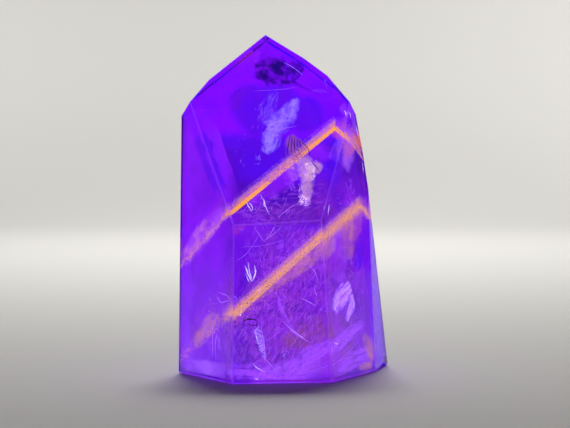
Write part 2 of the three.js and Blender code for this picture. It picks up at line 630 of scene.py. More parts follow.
# Dust that came loose and fell a little way before the quartz closed over it: some all along under the lower
# phantom, and more of it farther down at the left.
for part, height, columns, thickness, reach, grains, seed in (
    ("fallen_near", -1.4, LEFT_FACE, 1.3, 6, 10, 61),
    ("fallen_left", -1.9, FALL, 2.2, 7, 14, 63),
):
    scattered(
        f"lower_phantom_{part}",
        phantom_sheet(part, LOWER_RIDGE, LOWER_SLOPE_BACK, height, columns, PHANTOM_SLOPE_LEFT),
        pink_dust,
        "powellite",
        seed,
        grains,
        DUST_GRAIN,
        **{"Layer depth": thickness * MM, "Reach": reach * MM, "Patchiness": 0.5, "Patch size": 2 * MM},
    )


# Veils: old cracks that healed in the quartz and left sheets of tiny flat bubbles, which scatter milky light,
# painted here as a glow.
# The larger bubbles are real shapes here, and those too fine to see are milk on a film, a thin closed sheet.
# The brightest veil, a cloud in two lobes, hangs behind the top of the big front face.
BUBBLE = 0.16 * MM
SMALL_BUBBLE = 0.12 * MM
TINY_BUBBLE = 0.1 * MM
FLAT = (1.0, 0.8, 0.12)
BUBBLE_INDEX = 1.3
# The ways that the front and the front of the point look.
FRONT = Vector((0, -1, 0))
FRONT_OF_POINT = Vector((0.062, -0.885, 0.462))
# How a ribbon ripples and frays, and how its crowding of 0 to 1 falls off towards its sides and ends.
STEPS_BETWEEN_PLACES = 8
RIPPLE_LENGTH = 1.5 * MM
FRAY_LENGTH = 0.7 * MM
CROWDED = 1.8
LOST_AT_THE_SIDES = 0.25
END_FADE = 4
# How crowded a clear spot stays, and from what share of its radius on and how fast the crowding comes back.
SPOT_CROWDING = 0.1
SPOT_CORE = 0.9
SPOT_FADE = 3
FILM_THICKNESS = 0.05 * MM
MILK_ROUGHNESS = 0.6
# How far the noise in a milk rises from where it covers least to where it covers most.
MILK_RISE = 0.28


def curve_through(path, steps):
    """Places on a smooth curve through a path that is given in millimetres."""
    knots = [Vector(place) * MM for place in path]
    knots = [knots[0] * 2 - knots[1], *knots, knots[-1] * 2 - knots[-2]]
    spots = []
    for before, start, end, after in zip(knots, knots[1:], knots[2:], knots[3:]):
        for step in range(steps):
            t = step / steps
            bend = before * 2 - start * 5 + end * 4 - after
            swing = start * 3 - before - end * 3 + after
            spots.append(start + ((end - before) * t + bend * t ** 2 + swing * t ** 3) / 2)
    return [*spots, knots[-2]]


def share_along(values, t):
    """The value at a share of the way along some evenly spaced values."""
    whole = min(int(t * (len(values) - 1)), len(values) - 2)
    rest = t * (len(values) - 1) - whole
    return values[whole] * (1 - rest) + values[whole + 1] * rest


def ribbon(name, path, half_widths, seed, ripple=0.3, facing=FRONT, across=8, clear=(), ragged=0.9, ends=0.3):
    """A rippled ribbon along a path, in mm. Its crowding fades raggedly towards its sides and ends.

    It is all but bare within the clear spots, each a place and a radius in mm. Its flow attribute says how
    far across it and along it a place lies, and then its seed.
    """
    shape = bmesh.new()
    crowding = shape.verts.layers.float.new("crowding")
    flow = shape.verts.layers.float_vector.new("flow")
    spots = curve_through(path, STEPS_BETWEEN_PLACES)
    rows = []
    gone = 0.0
    for i, spot in enumerate(spots):
        gone += (spot - spots[max(i - 1, 0)]).length
        onward = spots[min(i + 1, len(spots) - 1)] - spots[max(i - 1, 0)]
        side = onward.cross(facing).normalized()
        t = i / (len(spots) - 1)
        row = []
        for j in range(across + 1):
            v = 2 * j / across - 1
            place = spot + side * (v * share_along(half_widths, t) * MM)
            wave = noise.noise(place / RIPPLE_LENGTH + Vector((seed, 0, 0)))
            fray = noise.noise(place / FRAY_LENGTH + Vector((0, seed, 0)))
            vert = shape.verts.new(place + facing * (wave * ripple * MM))
            edge = min(1 - v * v, END_FADE * (1 - abs(2 * t - 1)) + ends)
            crowd = CROWDED * edge + ragged * fray - LOST_AT_THE_SIDES
            for middle, radius in clear:
                away = (place - Vector(middle) * MM).length / (radius * MM)
                crowd = min(crowd, SPOT_CROWDING + SPOT_FADE * max(0, away - SPOT_CORE))
            vert[crowding] = min(1.0, max(0.0, crowd))
            vert[flow] = (v * share_along(half_widths, t) * MM, gone, seed * MM)
            row.append(vert)
        rows.append(row)
    for low, high in zip(rows, rows[1:]):
        for a, b, c, d in zip(low, low[1:], high[1:], high):
            shape.faces.new((a, b, c, d))
    return mesh_of(name, shape)


def veil(name, path, half_widths, material, per_mm2, seed, size=BUBBLE, ripple=0.3, options=None, **shape):
    """A healed crack: flat bubbles lying in a rippled ribbon along a path, in millimetres."""
    values = {"Grain stretch": FLAT, "Tumble": 0.5, "Patchiness": 0.4, "Patch size": 1.0 * MM}
    values.update(options or {})
    sheet = ribbon(name, path, half_widths, seed, ripple, **shape)
    return scattered(name, sheet, material, "veil", seed, per_mm2, size, **values)


def milk(name, hex_colour, glow_colour, glow, covers, patch_across, patch_along, bare_below=0.36):
    """A glowing milk of bubbles too fine to see, in soft patches or streaks along its sheet, sized in mm.

    It hides between two shares of what lies behind it, and the least where its noise is under bare_below.
    """
    material = glowing(name, hex_colour, glow_colour, glow, MILK_ROUGHNESS, BUBBLE_INDEX)
    tree = material.node_tree
    flow = add(tree, "ShaderNodeAttribute", {"attribute_name": "flow"})
    spot = add(
        tree,
        "ShaderNodeMapping",
        {"Scale": (1 / (patch_across * MM), 1 / (patch_along * MM), 1 / MM)},
        {"Vector": flow.outputs["Vector"]},
    )
    patches = add(
        tree,
        "ShaderNodeTexNoise",
        {"Scale": 1.0, "Detail": 4.0, "Roughness": 0.6},
        {"Vector": spot.outputs["Vector"]},
    )
    least, most = covers
    cover = add(
        tree,
        "ShaderNodeMapRange",
        {"From Min": bare_below, "From Max": bare_below + MILK_RISE, "To Min": least, "To Max": most},
        {"Value": patches.outputs["Fac"]},
    )
    crowding = add(tree, "ShaderNodeAttribute", {"attribute_name": "crowding"})
    opacity = add(
        tree,
        "ShaderNodeMath",
        {"operation": "MULTIPLY"},
        {0: cover.outputs["Result"], 1: crowding.outputs["Fac"]},
    )
    shader = next(node for node in tree.nodes if node.type == "BSDF_PRINCIPLED")
    tree.links.new(opacity.outputs["Value"], named(shader.inputs, "Alpha"))
    return material


def film(name, path, half_widths, material, seed, ripple=0.3, **shape):
    """A closed sheet of milk along a path, in millimetres. It ends just under the stone's skin."""
    body = bmesh.new()
    body.from_mesh(ribbon(name, path, half_widths, seed, ripple, ends=0.0, **shape))
    for place, outward in ground_faces:
        grind(body, place - outward * CLEAR_SKIN, outward)
    bmesh.ops.solidify(body, geom=body.faces[:], thickness=FILM_THICKNESS)
    bmesh.ops.recalc_face_normals(body, faces=body.faces)
    piece = new_piece(name, mesh_of(name, body), material)
    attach(piece, "root")
    return piece


# Bubbles, with painted light: milky and bright in the clouds, and painted faint, as in shade, where the lamp
# hardly reaches them.
milky = glowing("milky_bubbles", "#e8e4ff", "#90ffaa", 2.6, 0.35, BUBBLE_INDEX)
faint = glowing("shaded_milky_bubbles", "#c8c4ff", "#cbdae7", 1.0, 0.35, BUBBLE_INDEX)
# Milk of the cloud: pale and soft-edged in its lobes, thin and streaky in the strands beside it.
cloud_milk = milk("cloud_milk", "#8080c0", "#90ffad", 2.4, (0.05, 0.6), 0.5, 2.0)
strand_milk = milk("cloud_strands", "#8080c0", "#99edcb", 1.3, (0.0, 0.5), 0.35, 2.0, 0.42)
CLOUD_TOP = ((1.9, 2.1, 43.9), (0.9, 1.1, 42.2), (0.0, 0.3, 40.7), (-1.4, -0.4, 39.6), (-3.2, -1.0, 38.7))
CLOUD_LOW = ((-2.2, -1.2, 38.1), (-2.5, -2.1, 36.5), (-3.5, -3.0, 34.8))
CLOUD_CORE = ((-1.5, -0.9, 39.6), (-2.4, -1.5, 38.0), (-2.8, -2.3, 36.4))
CLOUD_STRAND = ((-1.6, 2.4, 45.2), (-2.9, 0.9, 42.4), (-4.1, -0.4, 40.0))
CLOUD_STRAND_HIGH = ((-2.1, 2.0, 44.4), (-2.9, 0.9, 42.4), (-3.9, -0.1, 40.6))
for name, path, half_widths, seed in (
    ("top", CLOUD_TOP, (0.6, 1.5, 1.8, 2.2, 1.4), 17),
    ("low", CLOUD_LOW, (1.8, 1.7, 0.7), 18),
    ("core", CLOUD_CORE, (0.7, 1.3, 0.6), 5),
):
    film("cloud_milk_" + name, path, half_widths, cloud_milk, seed, facing=FRONT_OF_POINT)
for name, path, half_widths, per_mm2, seed in (
    ("top", CLOUD_TOP, (0.2, 0.8, 0.9, 1.1, 0.6), 40, 21),
    ("low", CLOUD_LOW, (1.1, 1.1, 0.4), 22, 22),
    ("wisp", ((-4.6, -3.3, 34.5), (-4.4, -3.9, 33.0)), (0.5, 0.6), 20, 23),
):
    veil("cloud_" + name, path, half_widths, milky, per_mm2, seed)
film("cloud_strand_milk", CLOUD_STRAND, (1.1, 1.5, 0.9), strand_milk, 2, facing=FRONT_OF_POINT)
veil("cloud_strand_high", CLOUD_STRAND_HIGH, (0.5, 0.5, 0.3), milky, 8, 24, SMALL_BUBBLE)
veil("cloud_strand_left", ((-3.6, 1.5, 43.5), (-4.7, 0.5, 41.7)), (0.4, 0.5), milky, 7, 25, SMALL_BUBBLE)

# Milk behind the facets of the tip gives them an even violet glow of painted light and leaves the cloud clear
# to see. Bluer milk lies round the cloud, and over it hangs a dark window, a nearly black film of painted
# dark reflection, mottled with clear spots.
violet_milk = milk("violet_milk", "#200080", "#ad19ff", 1.3, (0.35, 0.5), 4, 4)
blue_milk = milk("blue_milk", "#100080", "#8b30ff", 0.8, (0.35, 0.65), 2.5, 4)
dark_reflection_film = milk("dark_window", "#040010", "#6100ff", 0.2, (0.1, 0.9), 1.7, 1.7)
TIP_MIDDLES = (
    (-3, -4.6, 37), (-3, -2.4, 41), (-3, -0.2, 45), (-3, 1.9, 49), (-3, 4.0, 53), (-3, 6.0, 57), (-3, 8, 61),
)
FRONT_OF_CLOUD = (
    ((-3.0, -1.4, 41.6), 5.0),
    ((-1.0, -0.6, 43.4), 3.4),
    ((-5.5, -0.9, 43.0), 3.6),
    ((3.0, -1.0, 41.2), 3.4),
)
film(
    "milk_in_the_tip", TIP_MIDDLES, (16, 16, 22, 22, 22, 22, 22), violet_milk, 20, 0.2,
    facing=FRONT_OF_POINT, across=44, clear=FRONT_OF_CLOUD, ragged=0.3,
)
for name, half_widths, material, seed, ragged, path in (
    (
        "window", (1.6, 3.0, 3.2, 2.6, 1.0), dark_reflection_film, 12, 0.7,
        ((-5.4, 1.15, 48.5), (-3, 1.05, 48.8), (-0.5, 1.0, 48.9), (1.6, 1.0, 48.6), (2.6, 0.8, 48.1)),
    ),
    (
        "blue_right", (2.6, 2.0, 1.8, 1.8, 1.4), blue_milk, 19, 0.3,
        ((4.3, 0.1, 43.9), (5.3, -1.8, 40.2), (6.5, -3.2, 37.2), (7.0, -4.6, 33.8), (6.6, -6.0, 30.4)),
    ),
    (
        "blue_left", (2.6, 2.6, 2.4), blue_milk, 16, 0.3,
        ((-9.9, -0.8, 42.0), (-8.9, -2.4, 38.7), (-9.0, -4.1, 35.5)),
    ),
    (
        "violet_far_left", (3.0, 2.4, 2.0, 1.4), blue_milk, 13, 0.3,
        ((-12.8, -2.0, 42.0), (-12.0, -4.2, 37.8), (-10.8, -6.4, 33.4), (-9.4, -8.4, 29.4)),
    ),
    (
        "blue_behind_cloud", (7, 9, 9, 8), blue_milk, 14, 0.3,
        ((-1.5, 5.6, 47.4), (-1.5, 2.8, 41.4), (-1.5, -0.4, 35.2), (-1.5, -3.6, 29.0)),
    ),
):
    film(name, path, half_widths, material, seed, facing=FRONT_OF_POINT, ragged=ragged, across=16)
# Specks: single bubbles strewn loosely at both sides of the cloud, and a small bright lens over them.
SPECKS = {"Patchiness": 0.9, "Patch size": 1.5 * MM, "Size varies by": 0.7, "Layer depth": 2 * MM}
for name, path, half_widths, per_mm2, seed in (
    ("specks_left", ((-7.2, 0.6, 42.6), (-7.8, -2.6, 37.2), (-7.0, -5.0, 32.8)), (1.6, 2.0, 1.6), 2.5, 32),
    ("specks_right", ((5.4, -0.6, 41.6), (6.8, -2.6, 37.8)), (1.6, 1.4), 2, 33),
):
    veil(name, path, half_widths, milky, per_mm2, seed, TINY_BUBBLE, options=SPECKS)
veil("lens_high", ((4.2, 3.8, 44.9), (5.7, 3.9, 45.0), (7.3, 3.9, 44.6)), (0.2, 0.4, 0.2), milky, 30, 26)


# The feather: a crack that was open for longer, so that its bubbles are coarse, and a little dust got in.
# It hangs from a striped hood that starts over the upper phantom, and is whitest at its head and its foot.
# Bubbles, coarse and bright: white at the ends, and blushing in between from the dust among them.
blush = glowing("blushing_bubbles", "#e8d0e0", "#9bff73", 3.4, 0.4, BUBBLE_INDEX)
white = glowing("white_bubbles", "#ffffff", "#7eff55", 7.0, 0.4, BUBBLE_INDEX)
# Milk: rosy and streaked along the feather, creamy and almost solid at its head, and dusky in the hood.
feather_milk = milk("rosy_feather_milk", "#806080", "#b3ff95", 1.9, (0.15, 0.75), 0.5, 1.6)
cream_milk = milk("cream_flake", "#c0b0a0", "#8eff69", 6.0, (0.0, 0.95), 0.7, 0.7)
hood_milk = milk("hood_stripes", "#604070", "#fffff3", 0.5, (0.0, 0.9), 0.35, 8.0)
COARSE = {"Size varies by": 0.6, "Patchiness": 0.75, "Patch size": 0.6 * MM, "Tumble": 1.2}
HOOD = ((0.9, -5.3, 38.6), (1.3, -6.0, 37.3), (1.9, -6.75, 35.9), (2.5, -7.5, 34.5))
BODY = (
    (2.2, -6.3, 35.4), (3.0, -6.8, 33.8), (3.4, -7.5, 32.2),
    (3.5, -8.2, 30.8), (3.3, -9.0, 29.2), (3.1, -9.7, 28.0),
)
HEAD = ((3.6, -6.7, 33.9), (4.0, -7.1, 32.9), (3.9, -7.6, 31.8), (3.6, -8.1, 30.8))
LOBE = ((0.9, -5.6, 34.6), (0.9, -6.6, 32.6), (1.6, -7.4, 30.9))
WING = ((4.6, -6.4, 34.2), (5.3, -6.9, 33.3), (4.9, -7.5, 32.1))
QUILL = ((2.0, -5.2, 34.1), (3.1, -5.9, 32.5), (3.1, -6.9, 30.6), (2.9, -7.9, 28.7), (2.9, -8.9, 26.8))
film("hood", HOOD, (0.5, 1.7, 2.1, 1.6), hood_milk, 15, 0.1, facing=FRONT_OF_POINT, ragged=0.3)
for name, path, half_widths, material, seed in (
    ("milk", BODY, (1.0, 1.7, 1.6, 1.2, 1.1, 0.9), feather_milk, 11),
    ("cream", HEAD, (0.6, 0.9, 0.9, 0.5), cream_milk, 10),
    ("lobe", LOBE, (0.7, 1.0, 0.6), feather_milk, 9),
    ("wing_milk", WING, (0.4, 0.8, 0.4), feather_milk, 8),
):
    film("feather_" + name, path, half_widths, material, seed, facing=FRONT_OF_POINT)
veil("feather", QUILL, (0.6, 1.3, 0.8, 0.9, 0.9), blush, 90, 27, options=COARSE)
for part, half_widths, material, per_mm2, seed, options, path in (
    ("head", (0.4, 0.9, 0.5), white, 90, 28, COARSE, ((3.9, -5.6, 32.9), (3.3, -6, 32.2), (3.6, -6.4, 31))),
    ("foot", (0.7, 1.1, 0.6), white, 90, 29, COARSE, ((2.9, -8, 28.6), (3, -8.5, 27.6), (2.9, -8.9, 26.8))),
    (
        "wing", (0.3, 0.7, 0.3), blush, 50, 30, COARSE,
        ((3.9, -5.3, 33.6), (4.9, -5.8, 32.5), (4.2, -6.5, 31.2)),
    ),
    ("left", (0.5, 0.9, 0.4), faint, 50, 31, {}, ((0.4, -4.8, 32.9), (0.5, -5.9, 30.7), (1.3, -6.7, 29.1))),
):
    veil("feather_" + part, path, half_widths, material, per_mm2, seed, options=options)


# Splinters: small open cracks and needles in the quartz. Each is a thin tapered blade with its reflection
# painted in: bright where it mirrors the lamp and dark where it mirrors the room.
BLADE_STEPS = 6
BLADE_HALF_WIDTH = 0.36
BLADE_THICKNESS = 0.3
# How blunt the ends of a blade are and how full it is between them, how uneven it is, and how far it wanders.
BLUNTNESS = 0.08
FULLNESS = 0.7
UNEVENNESS = 0.7
UNEVEN_LENGTH = 0.4 * MM
WANDER = 0.4
WANDER_LENGTH = 0.7 * MM


def splinters(name, material, strokes, seed):
    """Closed tapered blades along paths, as one piece. Each stroke is its width and its path, in mm."""
    shape = bmesh.new()
    for number, (width, path) in enumerate(strokes):
        spots = curve_through(path, BLADE_STEPS)
        last = len(spots) - 1
        rings = []
        for i, spot in enumerate(spots):
            onward = (spots[min(i + 1, last)] - spots[max(i - 1, 0)]).normalized()
            side = onward.cross(FRONT).normalized()
            back = onward.cross(side)
            uneven = 1 + UNEVENNESS * noise.noise(spot / UNEVEN_LENGTH + Vector((seed, number, 0)))
            taper = BLUNTNESS + math.sin(math.pi * i / last) ** FULLNESS
            half = BLADE_HALF_WIDTH * width * MM * uneven * taper
            astray = noise.noise(spot / WANDER_LENGTH + Vector((number, seed, 0)))
            middle = spot + side * (WANDER * width * MM * astray)
            across = side * half
            through = back * (BLADE_THICKNESS * half)
            rings.append([shape.verts.new(middle + away) for away in (across, through, -across, -through)])
        for low, high in zip(rings, rings[1:]):
            for k in range(4):
                shape.faces.new((low[k], low[(k + 1) % 4], high[(k + 1) % 4], high[k]))
        shape.faces.new(rings[0][::-1])
        shape.faces.new(rings[-1])
    bmesh.ops.recalc_face_normals(shape, faces=shape.faces)
    piece = new_piece(name, mesh_of(name, shape), material)
    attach(piece, "root")
    return piece


# Open cracks: glossy, with painted reflections: white, lilac or nearly black by how much of the lamp they
# send to the eye.
white_glint_crack = glowing("white_glint_crack", "#ffffff", "#81ff81", 5.0, 0.3, BUBBLE_INDEX)
lilac_glint_crack = glowing("lilac_glint_crack", "#d8c8ff", "#bcffda", 1.4, 0.3, BUBBLE_INDEX)
dark_reflection_crack = glowing("dark_reflection_crack", "#1c0840", "#000000", 0.0, 0.3, BUBBLE_INDEX)
splinters(
    "white_splinters",
    white_glint_crack,
    (
        # The bright W behind the lower front face.
        (0.28, ((-6.3, -12.1, 18.2), (-5.8, -12.1, 16.9), (-5.2, -12.1, 15.7))),
        (0.16, ((-5.8, -12.0, 18.8), (-5.6, -12.0, 17.3), (-5.2, -12.0, 16.0))),
        (0.24, ((-5.2, -12.0, 15.7), (-4.7, -12.0, 16.9), (-4.8, -12.0, 18.3))),
        (0.14, ((-6.2, -12.0, 17.0), (-5.8, -12.0, 16.0), (-5.6, -12.0, 15.6))),
        # Small ones under the upper phantom.
        (0.16, ((-6.0, -10.0, 28.0), (-5.9, -10.4, 27.2), (-5.4, -10.7, 26.6), (-5.2, -10.8, 26.2))),
        (0.12, ((-5.7, -10.2, 27.7), (-5.2, -10.6, 27.0), (-5.1, -10.8, 26.4))),
        (0.12, ((-4.0, -9.4, 28.9), (-3.3, -9.9, 27.8), (-3.0, -10.4, 26.8), (-2.4, -11.0, 25.6))),
        (0.16, ((-3.3, -9.8, 28.0), (-3.3, -10.1, 27.2), (-2.9, -10.4, 26.7))),
        # Bits along the lower phantom, and chips along the right-hand edge, the last two of them painted
        # glints.
        (0.16, ((-4.5, -12.0, 14.2), (-4.0, -12.0, 14.5), (-3.5, -11.9, 15.1))),
        (0.22, ((-7.1, -12.4, 10.4), (-6.9, -12.4, 10.6))),
        (0.10, ((-7.0, -12.4, 10.5), (-6.7, -12.3, 11.3))),
        (0.20, ((6.8, -10.2, 5.9), (7.1, -9.8, 5.7), (7.6, -9.3, 5.4))),
        (0.20, ((6.4, -9.3, 27.6), (6.2, -9.3, 26.8), (6.0, -9.3, 25.8))),
        (0.20, ((9.6, -1.4, 42.3), (9.8, -1.2, 41.8), (9.9, -1.1, 41.2))),
        # These two are painted glints: white blades put where the lamp's highlight falls on the right-hand
        # edge.
        (0.16, ((11.0, -0.6, 40.2), (11.2, -0.5, 39.2), (11.3, -0.4, 38.4))),
        (0.14, ((11.9, 0.1, 34.4), (12.1, 0.2, 33.2), (12.2, 0.2, 32.2))),
        # The strand in the lower half and the bits by the base.
        (0.10, ((-4.7, -12.2, 8.2), (-4.5, -12.2, 6.8), (-3.9, -12.2, 5.4))),
        (0.14, ((-5.1, -12.4, 3.0), (-4.6, -12.3, 2.4), (-4.0, -12.3, 2.0), (-3.3, -12.3, 1.6))),
        (0.14, ((-4.8, -12.4, 0.6), (-4.2, -12.4, 0.4))),
        (0.14, ((0.8, -11.7, 8.2), (1.9, -11.6, 7.4), (2.8, -11.5, 6.8))),
    ),
    41,
)
splinters(
    "lilac_splinters",
    lilac_glint_crack,
    (
        # Needles that cross above the W, and long faint ones behind them.
        (0.12, ((-4.9, -11.8, 24.3), (-4.2, -11.8, 23.2), (-3.3, -11.7, 21.8))),
        (0.10, ((-3.4, -11.7, 21.7), (-2.3, -11.5, 23.2), (-1.4, -11.4, 24.6))),
        (0.10, ((-1.4, -11.2, 25.1), (0.2, -10.4, 26.4), (1.8, -9.7, 27.5))),
        (0.10, ((-3.1, -11.7, 22.1), (-1.8, -11.5, 23.1), (-0.5, -11.4, 24.2))),
        (0.06, ((-8.0, -11.2, 18.7), (-5.9, -11.0, 20.2), (-3.7, -10.7, 23.7))),
        (0.06, ((-7.1, -11.1, 21.0), (-3.2, -10.7, 21.3), (0.7, -10.3, 22.4))),
        # The curl under the lower phantom and the needles to its lower left.
        (0.16, ((3.5, -10.1, 18.3), (4.3, -10.1, 17.5), (4.9, -10.1, 16.3), (5.1, -10.1, 15.2))),
        (0.12, ((4.3, -10.2, 14.8), (4.7, -10.2, 13.9), (4.9, -10.2, 13.0))),
        (0.16, ((-0.6, -11.7, 9.6), (0.7, -11.7, 8.4), (2.3, -11.6, 7.1), (4.0, -11.4, 6.0))),
        (0.16, ((2.3, -11.4, 13.1), (3.5, -11.3, 12.5), (4.8, -11.2, 11.8))),
        # The line under the mottled window, and the one between the two lobes of the cloud.
        (0.08, ((-5.2, 3.0, 45.0), (-2.7, 3.1, 45.1), (0.3, 3.2, 45.4), (2.2, 3.2, 45.9))),
        (0.10, ((-0.3, 0.6, 50.6), (1.4, 0.5, 49.6), (2.9, 0.3, 48.3))),
        (0.12, ((-3.3, -2.3, 38.3), (-0.9, -1.8, 38.9), (2.0, -1.3, 39.4))),
        # Forked cracks to the right of the feather.
        (0.20, ((4.1, -4.2, 33.6), (5.5, -4.4, 32.9), (6.9, -4.7, 32.3))),
        (0.12, ((4.1, -4.2, 33.6), (5.3, -4.4, 33.2), (6.6, -4.6, 33.0))),
        # The fan and the loops in the lower left face.
        (0.16, ((-9.7, -8.4, 13.1), (-9.3, -8.9, 12.4), (-8.8, -9.4, 12.2), (-7.5, -11.0, 12.7))),
        (0.14, ((-9.5, -8.5, 13.7), (-8.2, -10.2, 13.4), (-7.4, -11.2, 12.7))),
        (0.14, ((-10.7, -8.7, 7.5), (-10.8, -8.7, 5.6), (-10.7, -8.8, 3.6))),
        (0.14, ((-10.0, -9.5, 7.3), (-10.3, -9.2, 5.4), (-10.2, -9.5, 3.3))),
        (0.12, ((-9.7, -9.9, 7.0), (-9.6, -10.0, 5.8), (-9.7, -10.0, 4.7))),
        # The right-hand line of the strand.
        (0.14, ((-3.8, -12.1, 8.8), (-3.3, -12.1, 5.8), (-3.1, -12.2, 3.3))),
        (0.12, ((-3.0, -12.2, 3.5), (-2.2, -12.2, 2.6), (-1.5, -12.1, 1.7))),
    ),
    42,
)
splinters(
    "dark_splinters",
    dark_reflection_crack,
    (
        # Painted shadows under the left end of the lower phantom.
        (0.22, ((-6.9, -12.3, 12.0), (-5.5, -12.2, 12.7), (-4.3, -12.0, 13.8))),
        (0.24, ((-6.6, -12.4, 9.6), (-5.5, -12.2, 9.9), (-4.3, -12.1, 9.6))),
        (0.16, ((-4.3, -12.1, 9.6), (-4.6, -12.2, 8.9), (-6.1, -12.3, 9.1))),
        (0.26, ((-7.5, -12.3, 12.7), (-7.1, -12.3, 12.1))),
        (0.26, ((-8.0, -12.3, 9.6), (-7.8, -12.3, 9.2))),
        # The stripes of the feather's hood, and its rim.
        *(
            (
                0.13,
                (
                    (0.9 + 0.3 * i, -5.5, 38.6 - 0.2 * i),
                    (0.6 + 0.44 * i, -6.15, 37.3),
                    (0.4 + 0.56 * i, -6.8, 36.1),
                    (0.5 + 0.64 * i, -7.35, 35.0),
                ),
            )
            for i in range(5)
        ),
        (0.18, ((2.4, -5.9, 37.6), (3.2, -6.25, 36.9), (3.8, -6.7, 35.9), (4.0, -7.2, 35.0))),
        (0.14, ((4.1, -6.9, 34.3), (4.6, -7.1, 33.6), (5.4, -7.5, 32.7))),
    ),
    43,
)


# Crescents, flakes and haze in the lower half: broad healed cracks, seen almost face-on. The crescents run up
# from the saw cut, and the rest lies sheet behind sheet behind the front face and the faces beside it.
# The ways that the faces beside the front look.
LEFT = Vector((-0.77, -0.637, 0.023))
RIGHT = Vector((0.823, -0.564, 0.066))
# Milk: lavender in streaks and in soft clouds, and almost white in the flake at the right.
pale_milk = milk("pale_streaks", "#8060a0", "#cec4ff", 1.05, (0.0, 0.75), 0.5, 4.0)
soft_milk = milk("soft_lavender_haze", "#8060a0", "#d3f3ff", 1.0, (0.15, 0.55), 3.5, 4)
flake_milk = milk("bright_flake", "#b0a0d0", "#b3ffe7", 2.2, (0.0, 0.9), 0.5, 2.5)
CRESCENT = ((-5.5, -11.4, 0.8), (-3.2, -11.3, 1.0), (0.7, -10.9, 2.2), (4.6, -10.4, 4.2), (6.9, -9.9, 5.8))
for name, half_widths, material, seed, facing, path in (
    ("crescent_front", (0.8, 1.3, 1.6, 1.8, 1.2), pale_milk, 51, FRONT, CRESCENT),
    (
        "crescent_right", (1.4, 1.6, 1.3, 0.8), pale_milk, 53, RIGHT,
        ((6.4, -9.6, 4.6), (8.4, -6.6, 6.1), (9.9, -4.3, 6.8), (11.8, -1.6, 8.0)),
    ),
    (
        "foot_front", (1.4, 1.5, 1.4, 1.4), pale_milk, 52, FRONT,
        ((-8.4, -11.6, 1.4), (-4, -11.4, 1.4), (0, -11, 1.2), (6, -10.4, 1.6)),
    ),
    (
        "foot_right", (1.4, 1.8, 1.6), pale_milk, 50, RIGHT,
        ((7.2, -9.2, 1.8), (10, -5, 2.4), (12.8, -1.3, 3.0)),
    ),
    (
        "flake_milk_right", (1.0, 1.7, 1.9, 1.0), flake_milk, 49, RIGHT,
        ((6.9, -9.4, 10.4), (7.6, -8.4, 12.1), (8.7, -6.6, 13.3), (9.8, -5.0, 14.2)),
    ),
    (
        "flake_milk_tail", (0.6, 1.1, 0.5), flake_milk, 7, RIGHT,
        ((9.9, -5.0, 13.0), (9.9, -5.2, 11.0), (9.0, -6.6, 8.8)),
    ),
    (
        "strands_front", (0.3, 0.5, 0.4, 0.2), pale_milk, 45, FRONT,
        ((-1.8, -11.2, 14.3), (-0.3, -11.3, 10.6), (1.0, -11.3, 8.1), (3.2, -11.1, 6.3)),
    ),
):
    film(name, path, half_widths, material, seed, facing=facing)
for name, path, half_widths, seed in (
    ("fan_milk_right", ((9.4, -0.6, 39.4), (9.2, -1.7, 36.6), (8.0, -3.6, 33.2)), (1.0, 2.4, 2.4), 48),
    ("shoulder_milk", ((9.2, -0.4, 43.2), (10.2, 0.5, 40.8), (10.8, 0.6, 38.4)), (1.0, 1.2, 0.8), 47),
    ("lavender_milk_right", ((6.9, -6.8, 23.8), (7.1, -6.0, 18.6), (6.6, -7.0, 15.0)), (2.2, 3.0, 2.4), 46),
):
    film(name, path, half_widths, soft_milk, seed, facing=RIGHT, ragged=0.3)
CRESCENT_BITS = ((-3.7, -11.3, 0.6), (0.7, -10.9, 2.2), (4.6, -10.4, 4.2), (6.6, -10.1, 5.4))
for name, path, half_widths, seed in (
    ("front", CRESCENT_BITS, (0.5, 1.2, 1.5, 1.1), 54),
    ("right", ((6.2, -10.0, 5.2), (8.4, -6.6, 6.1), (11.3, -2.2, 7.4)), (1.0, 1.0, 0.4), 55),
):
    veil("crescent_bits_" + name, path, half_widths, faint, 30, seed)

# Arcs as fine as hairs sweep along the crescents, at shares of the way from the lowest to the highest one.
# All hairs are pale, with a little painted glint.
hairs = glowing("hair_needles", "#c0b0e0", "#cbdae7", 1.3, 0.35, BUBBLE_INDEX)
LOWEST_ARC = ((-1.5, -11.2, 0.5), (3.4, -10.8, 1.4), (7.2, -10.0, 2.6), (9.0, -6.4, 3.8), (11.4, -2.6, 5.4))
HIGHEST_ARC = ((-3.4, -11.4, 1.0), (1.2, -11.0, 3.2), (5.6, -10.5, 5.6), (8.4, -6.6, 7.2), (11.0, -2.7, 8.4))
ARC_WIDTH = 0.06
ARC_WIDTH_VARIES = 0.05
ARC_WIDTH_RATE = 9
arcs = []
for share in (0.0, 0.18, 0.7, 1.0):
    width = ARC_WIDTH + ARC_WIDTH_VARIES * noise.noise(Vector((ARC_WIDTH_RATE * share, 0, 0)))
    path = [
        tuple(low + (high - low) * share for low, high in zip(start, end))
        for start, end in zip(LOWEST_ARC, HIGHEST_ARC)
    ]
    arcs.append((width, path))
splinters("arcs_by_base", hairs, arcs, 44)

